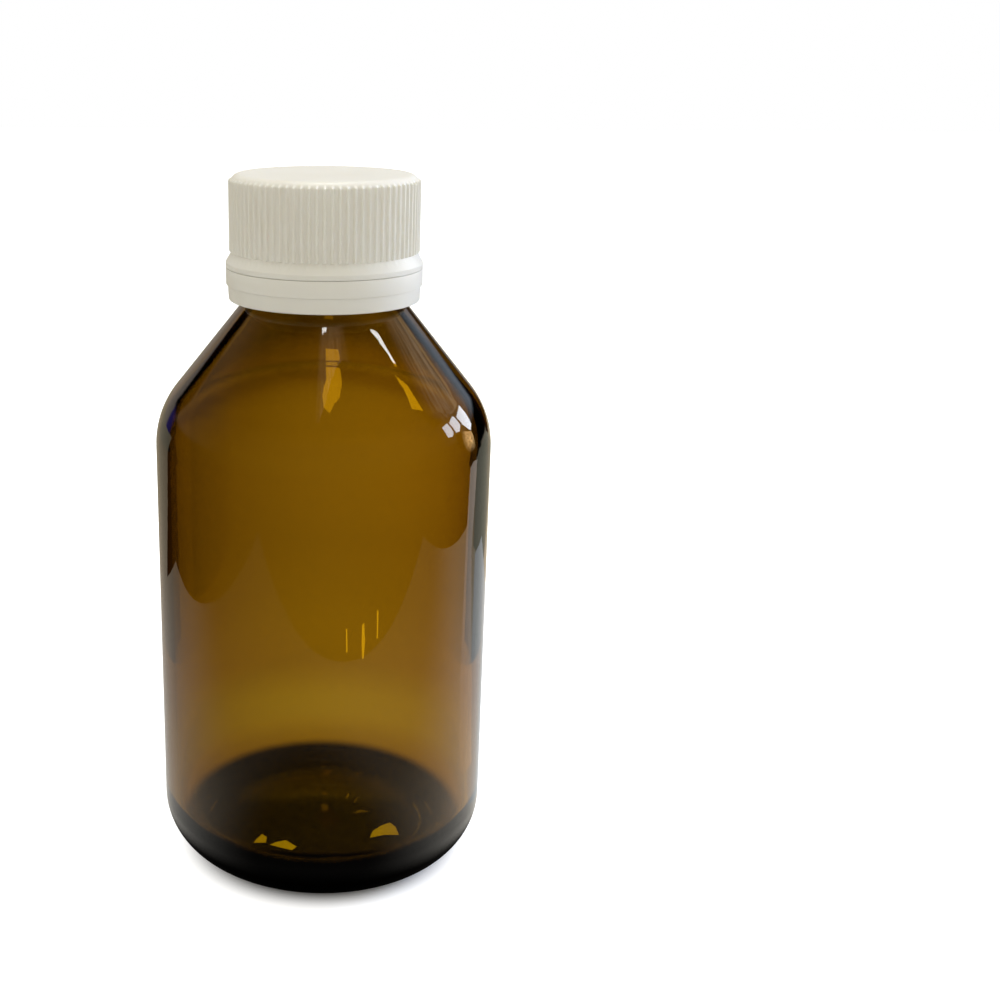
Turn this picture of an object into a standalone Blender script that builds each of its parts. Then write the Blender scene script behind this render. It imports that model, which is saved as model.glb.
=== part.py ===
"""Amber glass syrup bottle with its screw cap, foam liner and tamper-evident band.

Every length is in metres and +Z is up. The origin is the centre of the base, where the bottle stands.
The neck is measured down from its rim, and the closure is worked out from the neck and its clearances.
"""

import math

import bmesh
import bpy
from mathutils import Vector

# Glass body, a straight round bottle with a conical shoulder
body_radius = 0.02775
heel_radius = 0.0105
side_top_height = 0.0733
shoulder_radius = 0.0152
shoulder_angle = math.radians(38.7)
side_wall = 0.0021
base_thickness = 0.0040
push_up_depth = 0.0015
bearing_ring_width = 0.0022

# Glass neck, with its thread and the bead that holds the tamper band
neck_radius = 0.0125
neck_fillet = 0.0025
neck_height = 0.0163
bore_radius = 0.00925
bore_fillet = 0.0050
rim_outer_round = 0.0009
rim_inner_round = 0.0006
thread_pitch = 0.00318
thread_turns = 1.5
thread_drop = 0.0018
thread_height = 0.0012
thread_root_width = 0.0021
thread_crest_width = 0.0009
bead_drop = 0.0111
bead_height = 0.0016
bead_top_slope = 0.0013
bead_land = 0.0006
bead_under_slope = 0.0005

# Liner disc, pressed into the cap and closing the mouth
liner_thickness = 0.0012
liner_edge_round = 0.0002
liner_side_gap = 0.0003
seat_gap = 0.0003

# Cap shell
cap_height = 0.0146
cap_top_thickness = 0.0014
cap_wall = 0.0010
cap_edge_radius = 0.0013
cap_corner_fillet = 0.0004
cap_thread_clearance = 0.0003
cap_thread_root_clearance = 0.00045
cap_thread_turns = 1.5
cap_thread_lead_turns = 0.1
cap_thread_root_width = 0.0016
cap_thread_crest_width = 0.0008
flange_height = 0.0008
flare_height = 0.0016
skirt_step_drop = 0.0008
skirt_taper = 0.0006
lip_width = 0.00035
lip_height = 0.0003

# Ribs that give the fingers a grip
rib_count = 80
rib_height = 0.0003
rib_root_width = 0.00056
rib_tip_width = 0.00026
rib_top_drop = 0.00045
rib_end_slope = 0.00055

# Tamper-evident band
slit = 0.00015
band_height = 0.0052
band_wall = 0.0013
band_clearance = 0.00045
band_step = 0.0003
band_foot_height = 0.0025
band_foot_draft = 0.0001
band_edge_round = 0.0003
bridge_count = 8
bridge_width = 0.0008
bridge_depth = 0.0005
bridge_height = 0.00015
bridge_setback = 0.0003
pawl_count = 12
pawl_width = 0.0042
pawl_reach = 0.0012
pawl_tip_height = 0.0004
pawl_height = 0.0018
pawl_gap = 0.0005

# Faces round a full turn, faces along an arc, and how deep a joined shape reaches into its carrier
glass_segments = 64
closure_segments = 80
heel_steps = 7
arc_steps = 5
small_arc_steps = 2
thread_fade_turns = 0.08
root_overlap = 0.0003
weld_distance = 0.000001

# Heights and radii that follow from the sizes above
shoulder_corner_height = side_top_height + shoulder_radius * math.tan(shoulder_angle / 2)
neck_foot_height = shoulder_corner_height + (body_radius - neck_radius) / math.tan(shoulder_angle)
rim_height = neck_foot_height + neck_height
thread_crest_radius = neck_radius + thread_height
thread_low_drop = thread_drop + thread_turns * thread_pitch
bead_radius = neck_radius + bead_height
bead_under_drop = bead_drop + bead_top_slope + bead_land + bead_under_slope

liner_low = seat_gap
liner_high = liner_low + liner_thickness
cap_under = liner_high + seat_gap
cap_top = cap_under + cap_top_thickness
skirt_low = cap_top - cap_height
cap_inner_radius = thread_crest_radius + cap_thread_clearance
cap_outer_radius = cap_inner_radius + cap_wall
liner_radius = cap_inner_radius - liner_side_gap

band_inner_radius = bead_radius + band_clearance
band_outer_radius = band_inner_radius + band_wall
band_high = skirt_low - slit
band_low = band_high - band_height


def rounded_outline(corners):
    """Return the points of an outline of (radius, height, round, steps) corners.

    A corner with a round becomes an arc that meets both of its sides smoothly.
    """
    points = []
    for index, (radius, height, rounding, steps) in enumerate(corners):
        corner = Vector((radius, height))
        if not rounding:
            points.append(corner)
            continue
        before = Vector(corners[index - 1][:2]) - corner
        after = Vector(corners[(index + 1) % len(corners)][:2]) - corner
        half_angle = before.angle(after) / 2
        before.normalize()
        after.normalize()
        centre = corner + (before + after).normalized() * rounding / math.sin(half_angle)
        reach = rounding / math.tan(half_angle)
        start = corner + before * reach - centre
        turn = start.angle_signed(corner + after * reach - centre)
        for step in range(steps + 1):
            angle = -turn * step / steps
            spoke = Vector((
                start.x * math.cos(angle) - start.y * math.sin(angle),
                start.x * math.sin(angle) + start.y * math.cos(angle),
            ))
            points.append(centre + spoke)
    return points


def dome(rim_radius, rim_level, rise, steps):
    """Return points of a shallow spherical dome, from its rim to its middle on the axis."""
    sphere_radius = (rim_radius ** 2 + rise ** 2) / (2 * rise)
    full_angle = math.asin(rim_radius / sphere_radius)
    points = []
    for step in range(steps + 1):
        angle = full_angle * (1 - step / steps)
        drop = sphere_radius * (1 - math.cos(angle))
        points.append(Vector((sphere_radius * math.sin(angle), rim_level + rise - drop)))
    return points


def material(name, colour, roughness, transmission=0.0):
    """Return a Principled material in one colour."""
    made = bpy.data.materials.new(name)
    made.use_nodes = True
    shader = made.node_tree.nodes["Principled BSDF"]
    shader.inputs["Base Color"].default_value = (*colour, 1.0)
    shader.inputs["Roughness"].default_value = roughness
    shader.inputs["Metallic"].default_value = 0.0
    shader.inputs["Transmission Weight"].default_value = transmission
    return made


def place(name, mesh, height, look, parent):
    """Put a mesh in the scene as an object on the bottle's axis."""
    made = bpy.data.objects.new(name, mesh)
    bpy.context.scene.collection.objects.link(made)
    made.location = (0.0, 0.0, height)
    made.parent = parent
    made.data.materials.append(look)
    return made


def turned(name, points, closed, segments, height, look, parent):
    """Turn an outline round the axis, so that it becomes one closed solid."""
    outline = bmesh.new()
    verts = [outline.verts.new((point.x, 0.0, point.y)) for point in points]
    for first, second in zip(verts, verts[1:]):
        outline.edges.new((first, second))
    if closed:
        outline.edges.new((verts[-1], verts[0]))
    mesh = bpy.data.meshes.new(name)
    outline.to_mesh(mesh)
    outline.free()
    made = place(name, mesh, height, look, parent)
    turn = made.modifiers.new("Turn", "SCREW")
    turn.axis = "Z"
    turn.angle = math.tau
    turn.steps = segments
    turn.render_steps = segments
    turn.use_merge_vertices = True
    turn.merge_threshold = weld_distance
    turn.use_smooth_shade = True
    return made


def swept(sections):
    """Return a mesh that joins equal sections in a row and closes both ends."""
    solid = bmesh.new()
    rings = [[solid.verts.new(point) for point in section] for section in sections]
    for near, far in zip(rings, rings[1:]):
        for index in range(len(near)):
            after = (index + 1) % len(near)
            solid.faces.new((near[index], near[after], far[after], far[index]))
    solid.faces.new(rings[0])
    solid.faces.new(rings[-1])
    bmesh.ops.recalc_face_normals(solid, faces=solid.faces)
    return solid


def as_mesh(name, solid):
    """Turn a finished solid into a mesh."""
    mesh = bpy.data.meshes.new(name)
    solid.to_mesh(mesh)
    solid.free()
    return mesh


def join_to(carrier, name, mesh, look, parent):
    """Fuse a shape to the piece that carries it."""
    shape = place(name, mesh, carrier.location.z, look, parent)
    shape.hide_render = True
    shape.display_type = "WIRE"
    union = carrier.modifiers.new(name, "BOOLEAN")
    union.operation = "UNION"
    union.solver = "EXACT"
    union.object = shape
    return shape


def helix_ridge(name, turns, start_turn, start_level, foot, crest, root_width, crest_width, segments):
    """Return a thread: a ridge on a helix from radius foot to radius crest, fading out at both ends.

    The foot and both faded ends lie inside the wall that carries the thread.
    The sections lie halfway between the wall's own facets, so that no edges meet edge to edge.
    """
    steps = round(turns * segments)
    half_facet_turn = 0.5 / segments
    buried = foot + math.copysign(root_overlap / 2, crest - foot)
    sections = []
    for step in range(steps + 1):
        turn = turns * step / steps
        fade = min(1.0, turn / thread_fade_turns, (turns - turn) / thread_fade_turns)
        angle = math.tau * (start_turn + turn + half_facet_turn)
        level = start_level + thread_pitch * (turn + half_facet_turn)
        tip = buried + (crest - buried) * fade
        tip_half = (root_width + (crest_width - root_width) * fade) / 2
        low_side = ((foot, -root_width / 2), (tip, -tip_half))
        high_side = ((tip, tip_half), (foot, root_width / 2))
        section = []
        for radius, offset in low_side + high_side:
            section.append((radius * math.cos(angle), radius * math.sin(angle), level + offset))
        sections.append(section)
    return as_mesh(name, swept(sections))


def round_the_axis(name, count, section, width):
    """Return count copies of a radial section, given in (radius, height), spread round the axis.

    Each point of the section has a share of the width, so that a copy can taper.
    """
    group = bmesh.new()
    for index in range(count):
        angle = math.tau * index / count
        along = Vector((math.cos(angle), math.sin(angle), 0.0))
        across = Vector((-math.sin(angle), math.cos(angle), 0.0))
        sides = []
        for side in (-1, 1):
            ring = []
            for radius, level, width_share in section:
                flat_point = along * radius + across * side * width * width_share / 2
                ring.append(flat_point + Vector((0.0, 0.0, level)))
            sides.append(ring)
        copy = bpy.data.meshes.new(name)
        solid = swept(sides)
        solid.to_mesh(copy)
        solid.free()
        group.from_mesh(copy)
        bpy.data.meshes.remove(copy)
    return as_mesh(name, group)


def make_bottle(look, parent):
    """The moulded glass bottle, one wall of glass from the base to the rim."""
    inner_radius = body_radius - side_wall
    inner_round = shoulder_radius - side_wall
    inner_shoulder_height = side_top_height + inner_round * math.tan(shoulder_angle / 2)
    inner_neck_height = inner_shoulder_height + (inner_radius - bore_radius) / math.tan(shoulder_angle)
    ring_inner_radius = body_radius - heel_radius - bearing_ring_width
    bead_low = rim_height - bead_under_drop
    inside_floor = dome(ring_inner_radius, base_thickness, push_up_depth, small_arc_steps)
    walls = rounded_outline([
        (ring_inner_radius, base_thickness, 0, 0),
        (inner_radius, base_thickness, heel_radius - side_wall, arc_steps),
        (inner_radius, inner_shoulder_height, inner_round, arc_steps),
        (bore_radius, inner_neck_height, bore_fillet, small_arc_steps),
        (bore_radius, rim_height, rim_inner_round, small_arc_steps),
        (neck_radius, rim_height, rim_outer_round, small_arc_steps),
        (neck_radius, rim_height - bead_drop, 0, 0),
        (bead_radius, rim_height - bead_drop - bead_top_slope, 0, 0),
        (bead_radius, bead_low + bead_under_slope, 0, 0),
        (neck_radius, bead_low, 0, 0),
        (neck_radius, neck_foot_height, neck_fillet, small_arc_steps),
        (body_radius, shoulder_corner_height, shoulder_radius, arc_steps),
        (body_radius, 0, heel_radius, heel_steps),
        (ring_inner_radius, 0, 0, 0),
    ])
    underside = dome(ring_inner_radius, 0, push_up_depth, small_arc_steps)
    points = inside_floor[:0:-1] + walls + underside[1:]
    bottle = turned("bottle", points, False, glass_segments, 0, look, parent)
    thread = helix_ridge(
        "bottle_thread", thread_turns, 0, rim_height - thread_low_drop, neck_radius - root_overlap,
        thread_crest_radius, thread_root_width, thread_crest_width, glass_segments,
    )
    join_to(bottle, "bottle_thread", thread, look, parent)
    return bottle


def make_liner(look, parent):
    """The foam disc that the cap presses on the rim."""
    points = rounded_outline([
        (0, liner_high, 0, 0),
        (liner_radius, liner_high, liner_edge_round, small_arc_steps),
        (liner_radius, liner_low, liner_edge_round, small_arc_steps),
        (0, liner_low, 0, 0),
    ])
    return turned("liner", points, False, closure_segments, rim_height, look, parent)


def make_cap(look, parent):
    """The moulded cap: a ribbed shell with a flared skirt and a thread inside."""
    flange_top = skirt_low + flange_height
    lip_inner_radius = band_outer_radius - lip_width
    step_level = flange_top + skirt_step_drop
    points = rounded_outline([
        (0, cap_top, 0, 0),
        (cap_outer_radius, cap_top, cap_edge_radius, arc_steps),
        (cap_outer_radius, flange_top + flare_height, 0, 0),
        (band_outer_radius, flange_top, 0, 0),
        (band_outer_radius, skirt_low, 0, 0),
        (lip_inner_radius, skirt_low, 0, 0),
        (lip_inner_radius, skirt_low + lip_height, 0, 0),
        (band_inner_radius, skirt_low + lip_height, 0, 0),
        (band_inner_radius, step_level, 0, 0),
        (cap_inner_radius, step_level + skirt_taper, 0, 0),
        (cap_inner_radius, cap_under, cap_corner_fillet, small_arc_steps),
        (0, cap_under, 0, 0),
    ])
    cap = turned("cap", points, False, closure_segments, rim_height, look, parent)
    rib_foot = cap_outer_radius - root_overlap
    rib_tip = cap_outer_radius + rib_height
    rib_high = cap_top - rib_top_drop
    rib_low = flange_top + flare_height
    tip_share = rib_tip_width / rib_root_width
    ribs = round_the_axis("cap_ribs", rib_count, [
        (rib_foot, rib_high, 1),
        (rib_tip, rib_high - rib_end_slope, tip_share),
        (rib_tip, rib_low, tip_share),
        (rib_foot, rib_low, 1),
    ], rib_root_width)
    join_to(cap, "cap_ribs", ribs, look, parent)
    thread = helix_ridge(
        "cap_thread", cap_thread_turns, -cap_thread_lead_turns,
        -thread_low_drop - thread_pitch * (cap_thread_lead_turns + 0.5), cap_inner_radius + root_overlap,
        neck_radius + cap_thread_root_clearance, cap_thread_root_width, cap_thread_crest_width,
        closure_segments,
    )
    join_to(cap, "cap_thread", thread, look, parent)
    return cap


def make_tamper_band(look, parent):
    """The ring that stays on the neck, with its barbs under the glass bead and the stubs of its bridges."""
    foot_top = band_low + band_foot_height
    foot_radius = band_outer_radius - band_step
    points = rounded_outline([
        (band_outer_radius, band_high, 0, 0),
        (band_outer_radius, foot_top, 0, 0),
        (foot_radius, foot_top, 0, 0),
        (foot_radius - band_foot_draft, band_low, band_edge_round, small_arc_steps),
        (band_inner_radius, band_low, 0, 0),
        (band_inner_radius, band_high, 0, 0),
    ])
    band = turned("tamper_band", points, True, closure_segments, rim_height, look, parent)
    bridge_outer = band_outer_radius - lip_width - bridge_setback
    bridges = round_the_axis("band_bridges", bridge_count, [
        (bridge_outer, band_high - root_overlap, 1),
        (bridge_outer, band_high + bridge_height, 1),
        (bridge_outer - bridge_depth, band_high + bridge_height, 1),
        (bridge_outer - bridge_depth, band_high - root_overlap, 1),
    ], bridge_width)
    join_to(band, "band_bridges", bridges, look, parent)
    pawl_high = -bead_under_drop - pawl_gap
    pawl_tip = band_inner_radius - pawl_reach
    pawl_root = band_inner_radius + root_overlap
    pawls = round_the_axis("band_pawls", pawl_count, [
        (pawl_root, pawl_high, 1),
        (pawl_tip, pawl_high, 1),
        (pawl_tip, pawl_high - pawl_tip_height, 1),
        (pawl_root, pawl_high - pawl_height, 1),
    ], pawl_width)
    join_to(band, "band_pawls", pawls, look, parent)
    return band


def main():
    """Clear the scene and build the bottle with its closure."""
    for old in list(bpy.data.objects):
        bpy.data.objects.remove(old, do_unlink=True)
    assembly = bpy.data.objects.new("syrup_bottle", None)
    bpy.context.scene.collection.objects.link(assembly)
    amber_glass = material("amber_glass", (0.20, 0.07, 0.005), 0.03, 1.0)
    cream_plastic = material("cream_plastic", (0.76, 0.73, 0.66), 0.42)
    white_foam = material("white_foam", (0.88, 0.88, 0.86), 0.75)
    make_bottle(amber_glass, assembly)
    make_liner(white_foam, assembly)
    make_cap(cream_plastic, assembly)
    make_tamper_band(cream_plastic, assembly)


main()
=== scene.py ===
# %% [markdown]
# # Syrup bottle: the looks
# This lesson dresses a syrup bottle that an engineer has already built as solids. The solids give every
# size and place. The camera comes first, then each piece gets a fine mesh and a material, and the room and
# the light come last. Lengths are in metres, unless a name or a comment says millimetres. +Z is up, and the
# bottle stands on the plane z = 0.

# %% Load the frame
import math

import bmesh
import bpy
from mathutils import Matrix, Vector


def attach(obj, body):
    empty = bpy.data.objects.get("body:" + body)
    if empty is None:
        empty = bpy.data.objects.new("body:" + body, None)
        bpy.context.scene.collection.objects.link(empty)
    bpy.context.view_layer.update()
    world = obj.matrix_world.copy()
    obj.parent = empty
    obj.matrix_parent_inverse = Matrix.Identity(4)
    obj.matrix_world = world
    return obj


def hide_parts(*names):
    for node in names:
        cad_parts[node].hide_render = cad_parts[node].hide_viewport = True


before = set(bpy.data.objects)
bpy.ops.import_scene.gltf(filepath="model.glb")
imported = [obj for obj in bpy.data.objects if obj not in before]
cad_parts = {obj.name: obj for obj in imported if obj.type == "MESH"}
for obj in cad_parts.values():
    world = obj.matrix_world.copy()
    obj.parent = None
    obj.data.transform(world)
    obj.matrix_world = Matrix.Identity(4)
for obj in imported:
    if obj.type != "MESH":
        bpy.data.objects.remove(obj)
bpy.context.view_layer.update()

MM = 0.001

# %% [markdown]
# ## Camera
# The photographer stood close and looked down a little, so the bottle narrows towards its foot. The
# distance, height and tilt below were worked out from the ellipses of the cap and from the outline. The
# bottle stands left of the middle of the picture. Turning the camera would tilt its upright edges, so the
# lens is shifted instead.

# %% Camera
CAMERA_DISTANCE = 0.2429
CAMERA_HEIGHT = 0.1389
CAMERA_PITCH = math.radians(17.34)
CAMERA_ROLL = math.radians(0.27)
SENSOR_WIDTH_MM = 36
PHOTO_SIDE_PX = 1000
FOCAL_PX = 1508
AXIS_PX = 323.3

bpy.ops.object.camera_add(location=(0, -CAMERA_DISTANCE, CAMERA_HEIGHT))
camera = bpy.context.object
camera.name = "camera"
camera.rotation_euler = (math.pi / 2 - CAMERA_PITCH, 0, 0)
camera.rotation_euler.rotate_axis("Z", CAMERA_ROLL)
camera.data.sensor_width = SENSOR_WIDTH_MM
camera.data.lens = FOCAL_PX / PHOTO_SIDE_PX * SENSOR_WIDTH_MM
camera.data.shift_x = (PHOTO_SIDE_PX / 2 - AXIS_PX) / PHOTO_SIDE_PX
camera.data.clip_start = CAMERA_DISTANCE / 100
camera.data.clip_end = CAMERA_DISTANCE * 100
bpy.context.scene.camera = camera
bpy.context.scene.view_settings.view_transform = "Standard"
print("lens, mm:", round(camera.data.lens, 2))

# %% [markdown]
# ## Helpers for turned pieces
# The bottle, its cap, the ring and the wad are all round, so each is drawn as half a section and turned.
# Blender has a Spin tool for that, but here a circle is extruded from point to point of the section
# instead. Each row of the mesh is then a clean ring, which is easy to pick out again for ribs or a seam.

# %% A section with rounded corners
def rounded_section(corners):
    """Turn (radius, height, round, steps) corners into points, with each round drawn as an arc."""
    points = []
    for index, (radius, height, rounding, steps) in enumerate(corners):
        corner = Vector((radius, height))
        if not rounding:
            points.append(corner)
            continue
        before = (Vector(corners[index - 1][:2]) - corner).normalized()
        after = (Vector(corners[(index + 1) % len(corners)][:2]) - corner).normalized()
        half = before.angle(after) / 2
        centre = corner + (before + after).normalized() * rounding / math.sin(half)
        start = corner + before * rounding / math.tan(half) - centre
        end = corner + after * rounding / math.tan(half) - centre
        sweep = -start.angle_signed(end)
        for step in range(steps + 1):
            turn = sweep * step / steps
            x = start.x * math.cos(turn) - start.y * math.sin(turn)
            y = start.x * math.sin(turn) + start.y * math.cos(turn)
            points.append(centre + Vector((x, y)))
    return points


def dome_section(rim_radius, rim_height, rise, steps):
    """Points of a shallow dome, from its rim to just short of the axis."""
    sphere = (rim_radius ** 2 + rise ** 2) / (2 * rise)
    widest = math.asin(rim_radius / sphere)
    points = []
    for step in range(steps):
        angle = widest * (1 - step / steps)
        drop = sphere * (1 - math.cos(angle))
        points.append(Vector((sphere * math.sin(angle), rim_height + rise - drop)))
    return points


def swell_section(rim_radius, rim_height, rise, steps):
    """Points of a soft swelling that runs level at its middle and at its rim, from the axis outwards."""
    shares = [step / steps for step in range(1, steps)]
    return [Vector((rim_radius * s, rim_height + rise * (1 + math.cos(math.pi * s)) / 2)) for s in shares]


# %% Choosing what an operator works on
def choose(piece):
    """Make one piece the only one that is selected, and the active one."""
    bpy.ops.object.select_all(action="DESELECT")
    piece.select_set(True)
    bpy.context.view_layer.objects.active = piece


def edit(piece):
    """Enter edit mode on one piece alone."""
    choose(piece)
    bpy.ops.object.mode_set(mode="EDIT")


def pick(piece, wanted):
    """Select the vertices for which wanted(radius, angle in degrees, height) is true."""
    mesh = bmesh.from_edit_mesh(piece.data)
    for vert in mesh.verts:
        radius = math.hypot(vert.co.x, vert.co.y)
        angle = math.degrees(math.atan2(vert.co.y, vert.co.x)) % 360
        vert.select = wanted(radius, angle, vert.co.z)
    mesh.select_flush_mode()
    bmesh.update_edit_mesh(piece.data)


# %% Rings, from point to point of a section
NEAR = 0.01 * MM


def turned(name, points, sides, closed=False):
    """Extrude a circle along a section, and close it on the axis, or on itself if it is closed."""
    bpy.ops.object.select_all(action="DESELECT")
    first, last = points[0], points[-1]
    bpy.ops.mesh.primitive_circle_add(vertices=sides, radius=first.x, location=(0, 0, first.y))
    piece = bpy.context.object
    piece.name = name
    bpy.ops.object.transform_apply(location=True, rotation=False, scale=False)
    edit(piece)
    bpy.ops.mesh.select_all(action="SELECT")
    if not closed:
        bpy.ops.mesh.extrude_edges_move(TRANSFORM_OT_translate={"value": (0, 0, 0)})
        bpy.ops.mesh.merge(type="CENTER")
        pick(piece, lambda radius, angle, height: radius > first.x / 2)
    for before, after in zip(points, points[1:]):
        bpy.ops.mesh.extrude_edges_move(TRANSFORM_OT_translate={"value": (0, 0, after.y - before.y)})
        scale = after.x / before.x
        bpy.ops.transform.resize(value=(scale, scale, 1), center_override=(0, 0, after.y))
    if closed:
        pick(piece, lambda radius, angle, height: any(
            abs(radius - end.x) < NEAR and abs(height - end.y) < NEAR for end in (first, last)
        ))
        bpy.ops.mesh.bridge_edge_loops()
    else:
        bpy.ops.mesh.extrude_edges_move(TRANSFORM_OT_translate={"value": (0, 0, 0)})
        bpy.ops.mesh.merge(type="CENTER")
    bpy.ops.mesh.select_all(action="SELECT")
    bpy.ops.mesh.normals_make_consistent(inside=False)
    bpy.ops.object.mode_set(mode="OBJECT")
    return piece


# %% Moving, fusing and finishing
def scale_picked(piece, factor, wanted):
    """Move the picked vertices towards or away from the bottle's axis."""
    pick(piece, wanted)
    bpy.ops.transform.resize(value=(factor, factor, 1), center_override=(0, 0, 0))


def fuse(carrier, shape):
    """Join a shape to the piece that carries it with an applied Boolean, and delete the shape."""
    choose(carrier)
    union = carrier.modifiers.new("Union", "BOOLEAN")
    union.operation = "UNION"
    union.solver = "EXACT"
    union.object = shape
    bpy.ops.object.modifier_apply(modifier=union.name)
    bpy.data.objects.remove(shape, do_unlink=True)


def finish_piece(piece, body, node, sharp=40):
    """Smooth a piece, hand it to its body in place of its CAD node, and print what it measures."""
    choose(piece)
    bpy.ops.object.shade_smooth_by_angle(angle=math.radians(sharp))
    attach(piece, body)
    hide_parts(node)
    measured = bmesh.new()
    measured.from_mesh(piece.data)
    volume = measured.calc_volume(signed=True) / MM ** 3
    open_edges = sum(not edge.is_manifold for edge in measured.edges)
    measured.free()
    print(piece.name, "mm:", [round(v / MM, 2) for v in piece.dimensions], "mm3:", round(volume),
          "faces:", len(piece.data.polygons), "open edges:", open_edges)


# %% [markdown]
# ## The thread
# A screw thread is a ridge that climbs round a wall. The Screw modifier makes one from a small trapezium.
# A real thread doesn't stop dead: the mould lets it run out into the wall, so the crest is brought down
# to the wall over the first and last steps. The thread is then fused to its wall.

# %% A thread that runs out at both ends
THREAD_PITCH = 0.00318
THREAD_TURNS = 1.5
RUN_OUT_DEGREES = 28
RUN_OUT_START = 0.1        # how far out the crest starts, as a share of the way from foot to crest


def thread_ridge(name, foot, crest, root_width, crest_width, start_height, start_turn, sides):
    """A ridge on a right-hand helix, from radius foot, inside its wall, to radius crest."""
    bpy.ops.object.select_all(action="DESELECT")
    bpy.ops.mesh.primitive_plane_add(
        size=1, location=((foot + crest) / 2, 0, start_height), rotation=(math.pi / 2, 0, 0)
    )
    ridge = bpy.context.object
    ridge.name = name
    ridge.scale = (abs(crest - foot), root_width, 1)
    bpy.ops.object.transform_apply(location=True, rotation=True, scale=True)
    edit(ridge)
    pick(ridge, lambda radius, angle, height: abs(radius - crest) < NEAR)
    bpy.ops.transform.resize(
        value=(1, 1, crest_width / root_width), center_override=(crest, 0, start_height)
    )
    bpy.ops.mesh.select_all(action="SELECT")
    bpy.ops.mesh.delete(type="ONLY_FACE")
    bpy.ops.object.mode_set(mode="OBJECT")
    screw = ridge.modifiers.new("Screw", "SCREW")
    screw.angle = math.tau * THREAD_TURNS
    screw.screw_offset = THREAD_PITCH * THREAD_TURNS
    sections = round(sides * THREAD_TURNS)
    screw.steps = screw.render_steps = sections
    bpy.ops.object.modifier_apply(modifier=screw.name)
    run_out = round(RUN_OUT_DEGREES / 360 * sides)
    sunk = foot + (crest - foot) * RUN_OUT_START
    edit(ridge)
    for step in range(run_out):
        share = math.sin(math.pi / 2 * step / run_out)
        factor = (sunk + (crest - sunk) * share) / crest
        mesh = bmesh.from_edit_mesh(ridge.data)
        mesh.verts.ensure_lookup_table()
        for vert in mesh.verts:
            at_end = vert.index // 4 in (step, sections - step)
            vert.select = at_end and abs(math.hypot(vert.co.x, vert.co.y) - crest) < NEAR
        mesh.select_flush_mode()
        bmesh.update_edit_mesh(ridge.data)
        bpy.ops.transform.resize(value=(factor, factor, 1), center_override=(0, 0, 0))
    bpy.ops.mesh.select_all(action="DESELECT")
    bpy.ops.mesh.select_non_manifold()
    bpy.ops.mesh.edge_face_add()
    bpy.ops.mesh.select_all(action="SELECT")
    bpy.ops.transform.rotate(value=-math.tau * start_turn, orient_axis="Z", center_override=(0, 0, 0))
    bpy.ops.mesh.normals_make_consistent(inside=False)
    bpy.ops.object.mode_set(mode="OBJECT")
    return ridge


# %% [markdown]
# ## Glass bottle
# The bottle is one wall of moulded glass. Glass shows both of its faces, so the inside is drawn as
# carefully as the outside: the wall is 2.1 mm, the base is 4 mm with a shallow push-up, and the inside of
# the heel and the shoulder has its own softer rounds. That hidden shape is what bends the light.

# %% Sizes of the glass
BODY_RADIUS = 0.02775
HEEL_RADIUS = 0.0105
SIDE_TOP = 0.0733
SHOULDER_RADIUS = 0.0152
SHOULDER_ANGLE = math.radians(38.7)
WALL = 0.0021
BASE_THICKNESS = 0.0040
PUSH_UP = 0.0015
BEARING_RING = 0.0022
BEARING_ROUND = 0.0006
NECK_RADIUS = 0.0125
NECK_HEIGHT = 0.0163
NECK_FILLET = 0.0025
BORE_RADIUS = 0.00925
BORE_FILLET = 0.0050
RIM_OUTER_ROUND = 0.0009
RIM_INNER_ROUND = 0.0006
THREAD_CREST = 0.0137
THREAD_DROP = 0.0018
BEAD_RADIUS = 0.0141
BEAD_DROP = 0.0111
BEAD_TOP_SLOPE = 0.0013
BEAD_LAND = 0.0006
BEAD_UNDER_SLOPE = 0.0005
BEAD_TOP_ROUND = 0.0003
BEAD_UNDER_ROUND = 0.0002
GLASS_SIDES = 256

inner_radius = BODY_RADIUS - WALL
inner_shoulder = SHOULDER_RADIUS - WALL
shoulder_corner = SIDE_TOP + SHOULDER_RADIUS * math.tan(SHOULDER_ANGLE / 2)
neck_foot = shoulder_corner + (BODY_RADIUS - NECK_RADIUS) / math.tan(SHOULDER_ANGLE)
rim = neck_foot + NECK_HEIGHT
inner_corner = SIDE_TOP + inner_shoulder * math.tan(SHOULDER_ANGLE / 2)
bore_foot = inner_corner + (inner_radius - BORE_RADIUS) / math.tan(SHOULDER_ANGLE)
ring_inner = BODY_RADIUS - HEEL_RADIUS - BEARING_RING
bead_top = rim - BEAD_DROP
land_top = bead_top - BEAD_TOP_SLOPE
land_low = land_top - BEAD_LAND
bead_low = land_low - BEAD_UNDER_SLOPE
print("rim, mm:", round(rim / MM, 3))

# %% Blow the bottle
glass_section = (
    swell_section(BODY_RADIUS - HEEL_RADIUS, BASE_THICKNESS, PUSH_UP, 16)
    + rounded_section([
        (0, BASE_THICKNESS, 0, 0),
        (inner_radius, BASE_THICKNESS, HEEL_RADIUS - WALL, 24),
        (inner_radius, inner_corner, inner_shoulder, 16),
        (BORE_RADIUS, bore_foot, BORE_FILLET, 10),
        (BORE_RADIUS, rim, RIM_INNER_ROUND, 6),
        (NECK_RADIUS, rim, RIM_OUTER_ROUND, 6),
        (NECK_RADIUS, bead_top, BEAD_TOP_ROUND, 3),
        (BEAD_RADIUS, land_top, BEAD_TOP_ROUND, 3),
        (BEAD_RADIUS, land_low, BEAD_UNDER_ROUND, 3),
        (NECK_RADIUS, bead_low, BEAD_UNDER_ROUND, 3),
        (NECK_RADIUS, neck_foot, NECK_FILLET, 8),
        (BODY_RADIUS, shoulder_corner, SHOULDER_RADIUS, 20),
        (BODY_RADIUS, 0, HEEL_RADIUS, 28),
        (ring_inner, 0, BEARING_ROUND, 4),
    ])[1:]
    + dome_section(ring_inner, 0, PUSH_UP, 10)[1:]
)
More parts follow.
